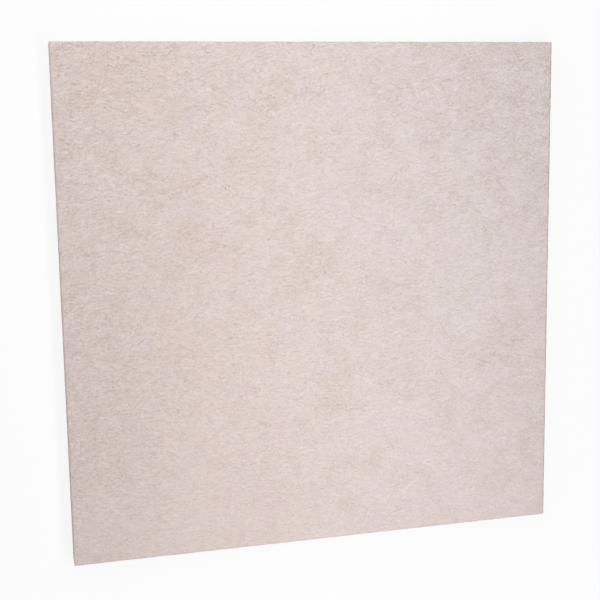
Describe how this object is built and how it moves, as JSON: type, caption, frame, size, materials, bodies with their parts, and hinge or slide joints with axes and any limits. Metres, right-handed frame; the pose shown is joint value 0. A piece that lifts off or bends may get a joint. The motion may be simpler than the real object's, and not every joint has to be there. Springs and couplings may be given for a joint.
{
  "type": "square fibre acoustic board",
  "caption": "Flat square board of bonded cream fibre with slightly rolled face edges, laid or glued against a wall or ceiling to absorb low-frequency sound.",
  "frame": {"origin": "middle of the back face, which lies on the floor", "axes": "+Z out of the face, square to it; +Y towards the edge that is at the top when the board stands on a wall; +X towards the right edge seen from the face"},
  "size_m": [0.6, 0.6, 0.025],
  "materials": {
    "bonded_fibre": "matt cream fibre felt, lightly wrinkled and mottled with tan, with short loose fibres on the face and cut sides"
  },
  "bodies": {
    "root": {"fibre_board": "bonded_fibre"}
  },
  "joints": []
}
